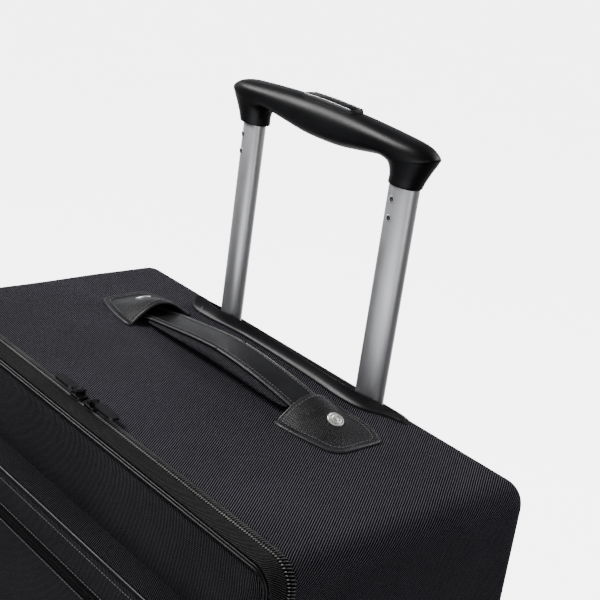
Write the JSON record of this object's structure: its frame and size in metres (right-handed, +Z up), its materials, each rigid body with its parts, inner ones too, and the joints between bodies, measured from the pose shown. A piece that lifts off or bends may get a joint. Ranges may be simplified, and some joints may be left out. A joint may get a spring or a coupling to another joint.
{
  "type": "softside upright suitcase",
  "caption": "Softside upright suitcase with telescopic trolley handle, padded carry handles, zipped opening lid, front pockets and rear wheels.",
  "frame": {"origin": "centre of the bounding box at floor level, under wheels and front feet", "axes": "+X to the suitcase's right seen from the front, -Y to the front (lid and pockets), +Z up"},
  "size_m": [0.493, 0.288, 0.8725],
  "materials": {
    "ballistic_fabric": "twill woven polyester, charcoal black",
    "lining_fabric": "thin woven lining",
    "pu_leather": "cross-hatched grain, stitched edges",
    "pad_fabric": "ribbed woven sleeve over foam",
    "tube_aluminium": "satin anodised",
    "grip_plastic": "satin black moulding",
    "moulded_plastic": "fine-textured black moulding",
    "button_plastic": "satin black with a grey inlay line",
    "bright_stud": "polished dome",
    "dark_screw": "blackened steel",
    "spring_steel": "drawn steel",
    "zip_tape": "woven tape with a nylon coil",
    "zip_metal": "gunmetal lacquer",
    "piping": "glossy coated piping",
    "board": "plain polyethylene sheet",
    "tyre_rubber": "soft polyurethane tread",
    "hub_plastic": "grey moulded hub"
  },
  "bodies": {
    "case": {"top_panel": "ballistic_fabric", "side_panel_left": "ballistic_fabric", "side_panel_right": "ballistic_fabric", "bottom_panel": "ballistic_fabric", "back_panel": "ballistic_fabric", "back_board": "board", "lining": "lining_fabric", "frame_hoops": "spring_steel", "base_tray": "moulded_plastic", "wheel_housing_left": "moulded_plastic", "wheel_housing_right": "moulded_plastic", "wheel_axles": "spring_steel", "side_feet": "moulded_plastic", "kick_rails": "moulded_plastic", "bezel": "grip_plastic", "outer_tube_left": "tube_aluminium", "outer_tube_right": "tube_aluminium", "tube_footing": "moulded_plastic", "chape_left": "pu_leather", "chape_right": "pu_leather", "side_chapes": "pu_leather", "chape_studs": "bright_stud", "case_zipper_half": "zip_tape"},
    "middle_stage": {"middle_tube_left": "tube_aluminium", "middle_tube_right": "tube_aluminium"},
    "grip_stage": {"upper_tube_left": "tube_aluminium", "upper_tube_right": "tube_aluminium", "grip_shell": "grip_plastic", "button_frame": "grip_plastic", "grip_screws": "dark_screw", "lock_blocks": "moulded_plastic", "button_spring": "spring_steel"},
    "release": {"release_button": "button_plastic", "release_yoke": "moulded_plastic", "push_rods": "spring_steel"},
    "pin_left": {"lock_pin_left": "spring_steel"},
    "pin_right": {"lock_pin_right": "spring_steel"},
    "top_handle": {"top_handle_strap": "pu_leather", "top_handle_pad": "pad_fabric"},
    "side_handle": {"side_handle_strap": "pu_leather", "side_handle_pad": "pad_fabric"},
    "lid": {"lid_panel": "ballistic_fabric", "lid_band": "ballistic_fabric", "lid_zipper_half": "zip_tape", "lid_piping": "piping", "upper_pocket": "ballistic_fabric", "lower_pocket": "ballistic_fabric", "pocket_zippers": "zip_tape"},
    "wheel_left": {"wheel_hub_left": "hub_plastic", "wheel_tyre_left": "tyre_rubber"},
    "wheel_right": {"wheel_hub_right": "hub_plastic", "wheel_tyre_right": "tyre_rubber"},
    "zip_slider_a": {"main_slider_a": "zip_metal"},
    "zip_slider_b": {"main_slider_b": "zip_metal"},
    "zip_pull_a": {"main_pull_a": "zip_metal"},
    "zip_pull_b": {"main_pull_b": "zip_metal"},
    "upper_zip_slider": {"upper_pocket_slider": "zip_metal"},
    "upper_zip_pull": {"upper_pocket_pull": "zip_metal"},
    "lower_zip_slider": {"lower_pocket_slider": "zip_metal"},
    "lower_zip_pull": {"lower_pocket_pull": "zip_metal"}
  },
  "joints": [
    {"name": "middle_slide", "type": "slide", "parent": "case", "child": "middle_stage", "axis": [0, 0, 1], "range_m": [0, 0.18]},
    {"name": "grip_slide", "type": "slide", "parent": "middle_stage", "child": "grip_stage", "axis": [0, 0, 1], "range_m": [-0.168, 0]},
    {"name": "button_press", "type": "slide", "parent": "grip_stage", "child": "release", "axis": [0, 0, -1], "range_m": [0, 0.004], "stiffness_N_per_m": 1500, "springref_m": -0.001, "deforming": ["button_spring"]},
    {"name": "pin_left_draw", "type": "slide", "parent": "grip_stage", "child": "pin_left", "axis": [-0.9848, 0.1736, 0], "range_m": [0, 0.0024]},
    {"name": "pin_right_draw", "type": "slide", "parent": "grip_stage", "child": "pin_right", "axis": [0.9848, 0.1736, 0], "range_m": [0, 0.0024]},
    {"name": "top_handle_lift", "type": "slide", "parent": "case", "child": "top_handle", "axis": [0, 0, 1], "range_m": [0, 0.015], "stiffness_N_per_m": 120},
    {"name": "side_handle_lift", "type": "slide", "parent": "case", "child": "side_handle", "axis": [1, 0, 0], "range_m": [0, 0.012], "stiffness_N_per_m": 120},
    {"name": "lid_hinge", "type": "hinge", "parent": "case", "child": "lid", "pos_m": [0, -0.076, 0.04], "axis": [1, 0, 0], "range_deg": [0, 110]},
    {"name": "wheel_left_spin", "type": "hinge", "parent": "case", "child": "wheel_left", "pos_m": [-0.199, 0.112, 0.032], "axis": [1, 0, 0], "continuous": true},
    {"name": "wheel_right_spin", "type": "hinge", "parent": "case", "child": "wheel_right", "pos_m": [0.199, 0.112, 0.032], "axis": [1, 0, 0], "continuous": true},
    {"name": "zip_slide_a", "type": "slide", "parent": "case", "child": "zip_slider_a", "axis": [1, 0, 0], "range_m": [-0.15, 0]},
    {"name": "zip_slide_b", "type": "slide", "parent": "case", "child": "zip_slider_b", "axis": [1, 0, 0], "range_m": [0, 0.15]},
    {"name": "zip_pull_a_swing", "type": "hinge", "parent": "zip_slider_a", "child": "zip_pull_a", "pos_m": [-0.009, -0.076, 0.667], "axis": [0, 1, 0], "range_deg": [0, 100]},
    {"name": "zip_pull_b_swing", "type": "hinge", "parent": "zip_slider_b", "child": "zip_pull_b", "pos_m": [0.009, -0.076, 0.667], "axis": [0, -1, 0], "range_deg": [0, 100]},
    {"name": "upper_zip_slide", "type": "slide", "parent": "lid", "child": "upper_zip_slider", "axis": [1, 0, 0], "range_m": [0, 0.28]},
    {"name": "upper_pull_swing", "type": "hinge", "parent": "upper_zip_slider", "child": "upper_zip_pull", "pos_m": [-0.14, -0.124, 0.5705], "axis": [-1, 0, 0], "range_deg": [0, 90]},
    {"name": "lower_zip_slide", "type": "slide", "parent": "lid", "child": "lower_zip_slider", "axis": [1, 0, 0], "range_m": [0, 0.28]},
    {"name": "lower_pull_swing", "type": "hinge", "parent": "lower_zip_slider", "child": "lower_zip_pull", "pos_m": [-0.14, -0.1422, 0.3405], "axis": [-1, 0, 0], "range_deg": [0, 90]}
  ],
  "couplings": [
    {"joint": "pin_left_draw", "follows": "button_press", "ratio": 0.6},
    {"joint": "pin_right_draw", "follows": "button_press", "ratio": 0.6}
  ]
}
